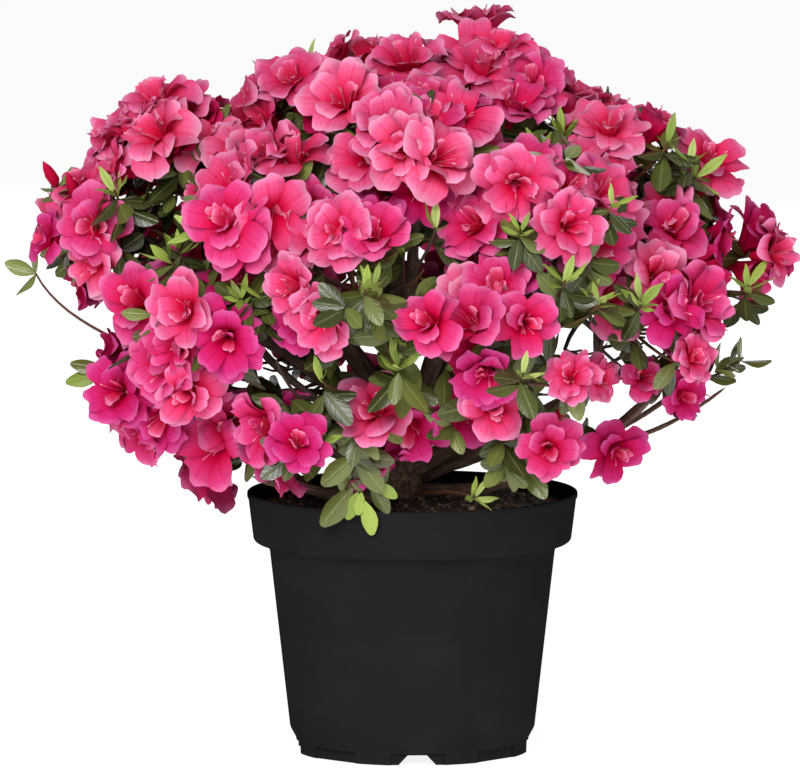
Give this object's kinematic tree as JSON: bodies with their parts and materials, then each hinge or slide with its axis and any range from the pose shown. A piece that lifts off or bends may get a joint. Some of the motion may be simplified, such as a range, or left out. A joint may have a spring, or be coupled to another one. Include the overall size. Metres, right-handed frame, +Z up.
{
  "type": "potted azalea shrub in bloom",
  "caption": "Potted azalea shrub covered in hose-in-hose hot pink blooms, with dark green leaf rosettes and lime new shoots, in a round black plastic nursery pot.",
  "frame": {"origin": "on the pot's axis, at the ground that its foot ring stands on", "axes": "+Z up, +X to the right and -Y towards the viewer when the plant is seen from its front"},
  "size_m": [0.4562, 0.3923, 0.4308],
  "materials": {
    "pot": "satin",
    "soil": "matte",
    "bark": "matte",
    "bloom": "matte",
    "leaf": "satin"
  },
  "bodies": {
    "root": {"pot": "pot", "soil": "soil", "main_stem": "bark", "bough_crest_left": "bark", "bough_crest_right": "bark", "bough_upper_left": "bark", "bough_upper_right": "bark", "bough_left_low": "bark", "bough_right_low": "bark", "bough_left": "bark", "bough_right": "bark", "bough_front_left": "bark", "bough_front_right": "bark", "bough_back_left": "bark", "bough_back_right": "bark", "bough_front": "bark", "bough_back": "bark", "shoot_left": "bark", "shoot_right": "bark", "crest_right": "bloom", "crest_left": "bloom", "shoulder_left": "bloom", "shoulder_right": "bloom", "upper_left": "bloom", "upper_right": "bloom", "left": "bloom", "right": "bloom", "right_tip": "bloom", "lower_left": "bloom", "lower_right": "bloom", "skirt_left": "bloom", "skirt_right": "bloom", "front_crest": "bloom", "front_upper_left": "bloom", "front_upper_right": "bloom", "front_left": "bloom", "front": "bloom", "front_right": "bloom", "front_far_right": "bloom", "skirt_front_left": "bloom", "skirt_front_right": "bloom", "back_crest": "bloom", "back_upper_left": "bloom", "back_upper_right": "bloom", "back_left": "bloom", "back": "bloom", "back_right": "bloom", "back_far_right": "bloom", "skirt_back_left": "bloom", "skirt_back_right": "bloom", "tuft_left": "leaf", "tuft_right": "leaf"}
  },
  "joints": []
}
